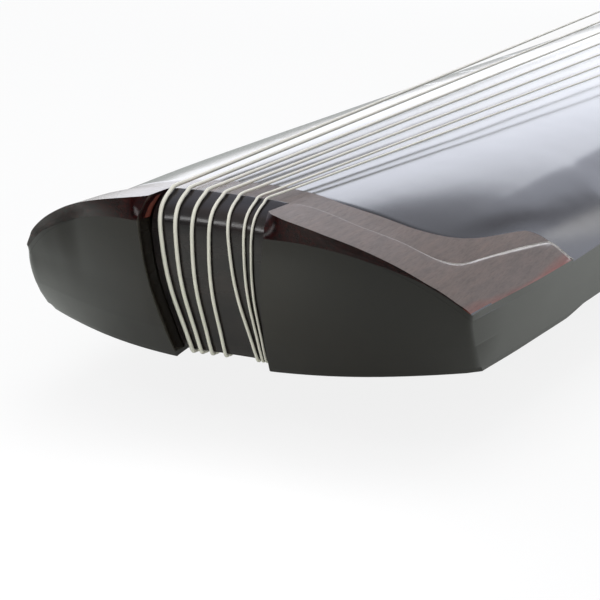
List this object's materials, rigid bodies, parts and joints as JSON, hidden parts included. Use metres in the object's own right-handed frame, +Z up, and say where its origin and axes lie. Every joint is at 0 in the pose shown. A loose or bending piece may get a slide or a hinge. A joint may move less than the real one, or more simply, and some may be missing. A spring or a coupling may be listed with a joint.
{
  "type": "guqin",
  "caption": "Long low zither: arched lacquered sound box on two feet, rosewood crown and bridge, silk-style strings over a notched tail, tuning pegs under the head.",
  "frame": {"origin": "on the table under the middle of the instrument: centre of the bounding box in X and Y, soles of the feet at Z = 0", "axes": "+X along the strings from the tail to the head, +Y away from the player, +Z up"},
  "size_m": [1.2224, 0.2, 0.0965],
  "materials": {
    "black_lacquer": "glossy black lacquer over wood",
    "rosewood": "satin dark red-brown rosewood with fine grain",
    "dark_hardwood": "polished near-black hardwood",
    "bare_wood": "unfinished pale wood inside the sound box",
    "string_winding": "cream wrapped string, fine diagonal winding",
    "cord_silk": "twisted dark red silk cord",
    "shell": "polished mother of pearl"
  },
  "bodies": {
    "body": {"top_board": "black_lacquer", "bottom_board": "black_lacquer", "crown_corner_far": "rosewood", "crown_corner_near": "rosewood", "tail_plate": "rosewood", "dragon_gum": "dark_hardwood", "gum_support": "dark_hardwood", "tail_support_far": "dark_hardwood", "tail_support_near": "dark_hardwood", "bridge": "rosewood", "dew_collector": "rosewood", "peg_pool_plate": "rosewood", "peg_guard_far": "rosewood", "peg_guard_near": "rosewood", "sound_post_round": "bare_wood", "sound_post_square": "bare_wood", "foot_block_far": "bare_wood", "foot_block_near": "bare_wood", "goose_foot_far": "rosewood", "goose_foot_near": "rosewood", "string_1": "string_winding", "string_2": "string_winding", "string_3": "string_winding", "string_4": "string_winding", "string_5": "string_winding", "string_6": "string_winding", "string_7": "string_winding", "tuning_cord_1": "cord_silk", "tuning_cord_2": "cord_silk", "tuning_cord_3": "cord_silk", "tuning_cord_4": "cord_silk", "tuning_cord_5": "cord_silk", "tuning_cord_6": "cord_silk", "tuning_cord_7": "cord_silk", "hui_1": "shell", "hui_2": "shell", "hui_3": "shell", "hui_4": "shell", "hui_5": "shell", "hui_6": "shell", "hui_7": "shell", "hui_8": "shell", "hui_9": "shell", "hui_10": "shell", "hui_11": "shell", "hui_12": "shell", "hui_13": "shell"},
    "peg_1": {"tuning_peg_1": "rosewood"},
    "peg_2": {"tuning_peg_2": "rosewood"},
    "peg_3": {"tuning_peg_3": "rosewood"},
    "peg_4": {"tuning_peg_4": "rosewood"},
    "peg_5": {"tuning_peg_5": "rosewood"},
    "peg_6": {"tuning_peg_6": "rosewood"},
    "peg_7": {"tuning_peg_7": "rosewood"}
  },
  "joints": [
    {"name": "peg_1_turn", "type": "hinge", "parent": "body", "child": "peg_1", "pos_m": [0.5477, 0.06, 0.03], "axis": [0, 0, 1], "continuous": true},
    {"name": "peg_2_turn", "type": "hinge", "parent": "body", "child": "peg_2", "pos_m": [0.5477, 0.04, 0.03], "axis": [0, 0, 1], "continuous": true},
    {"name": "peg_3_turn", "type": "hinge", "parent": "body", "child": "peg_3", "pos_m": [0.5477, 0.02, 0.03], "axis": [0, 0, 1], "continuous": true},
    {"name": "peg_4_turn", "type": "hinge", "parent": "body", "child": "peg_4", "pos_m": [0.5477, 0, 0.03], "axis": [0, 0, 1], "continuous": true},
    {"name": "peg_5_turn", "type": "hinge", "parent": "body", "child": "peg_5", "pos_m": [0.5477, -0.02, 0.03], "axis": [0, 0, 1], "continuous": true},
    {"name": "peg_6_turn", "type": "hinge", "parent": "body", "child": "peg_6", "pos_m": [0.5477, -0.04, 0.03], "axis": [0, 0, 1], "continuous": true},
    {"name": "peg_7_turn", "type": "hinge", "parent": "body", "child": "peg_7", "pos_m": [0.5477, -0.06, 0.03], "axis": [0, 0, 1], "continuous": true}
  ]
}
